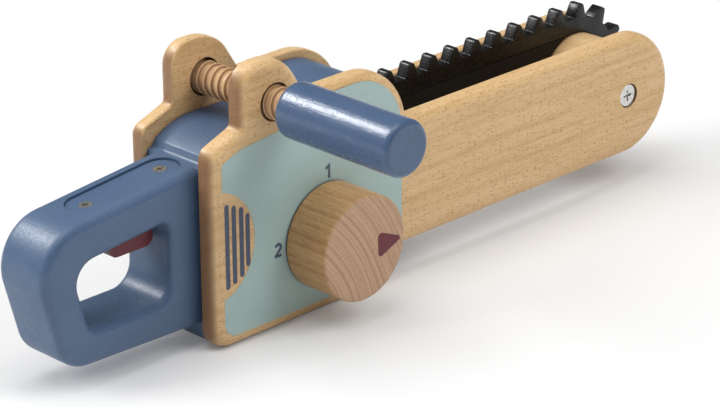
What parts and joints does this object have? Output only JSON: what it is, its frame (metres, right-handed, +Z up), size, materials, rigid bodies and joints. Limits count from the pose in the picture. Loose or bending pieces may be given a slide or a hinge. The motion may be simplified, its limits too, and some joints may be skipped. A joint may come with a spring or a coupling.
{
  "type": "toy chainsaw",
  "caption": "Wooden toy chainsaw: beech side boards around a painted core, toothed rubber chain on rollers, sprung trigger, round front grip and a clicking dial.",
  "frame": {"origin": "half way along the body, on its flat underside and on the middle plane", "axes": "+X forward along the bar to its tip, +Z up, so -Y is the side with the dial and the front grip"},
  "size_m": [0.3857, 0.1363, 0.1245],
  "materials": {
    "beech": "satin lacquer",
    "turned_beech": "satin lacquer",
    "blue_paint": "satin paint",
    "maroon_paint": "satin paint",
    "black_rubber": "matte",
    "black_paint": "matte paint",
    "steel": "zinc plated"
  },
  "bodies": {
    "frame": {"handle_core": "blue_paint", "right_side_board": "beech", "left_side_board": "beech", "joining_dowels": "turned_beech", "chain_belt": "black_rubber", "chain_guide": "black_paint", "tip_axle_sleeve": "steel", "tip_axle_screw": "steel", "rear_axle_dowel": "turned_beech", "click_reed": "steel", "trigger_spring": "steel", "handle_cover": "blue_paint", "cover_screws": "steel"},
    "tip_roller": {"tip_roller": "beech"},
    "rear_roller": {"rear_roller": "beech"},
    "dial": {"dial_knob": "turned_beech", "dial_shaft": "turned_beech", "click_wheel": "beech"},
    "front_handle": {"screw_rod": "beech", "front_grip": "blue_paint", "rod_nut": "beech"},
    "trigger": {"trigger": "maroon_paint"}
  },
  "joints": [
    {"name": "tip_roller_spin", "type": "hinge", "parent": "frame", "child": "tip_roller", "pos_m": [0.2087, 0, 0.0457], "axis": [0, 1, 0], "continuous": true},
    {"name": "rear_roller_spin", "type": "hinge", "parent": "frame", "child": "rear_roller", "pos_m": [0.0455, 0, 0.0457], "axis": [0, 1, 0], "continuous": true},
    {"name": "dial_turn", "type": "hinge", "parent": "frame", "child": "dial", "pos_m": [0.008, 0, 0.0366], "axis": [0, -1, 0], "range_deg": [0, 180]},
    {"name": "front_handle_turn", "type": "hinge", "parent": "frame", "child": "front_handle", "pos_m": [-0.0205, 0, 0.1055], "axis": [0, 1, 0], "continuous": true},
    {"name": "trigger_press", "type": "slide", "parent": "frame", "child": "trigger", "axis": [-0.0958, 0, 0.9954], "range_m": [0, 0.0045], "stiffness_N_per_m": 400, "springref_m": -0.003, "deforming": ["trigger_spring"]}
  ],
  "couplings": [
    {"joint": "rear_roller_spin", "follows": "tip_roller_spin", "ratio": 1}
  ]
}
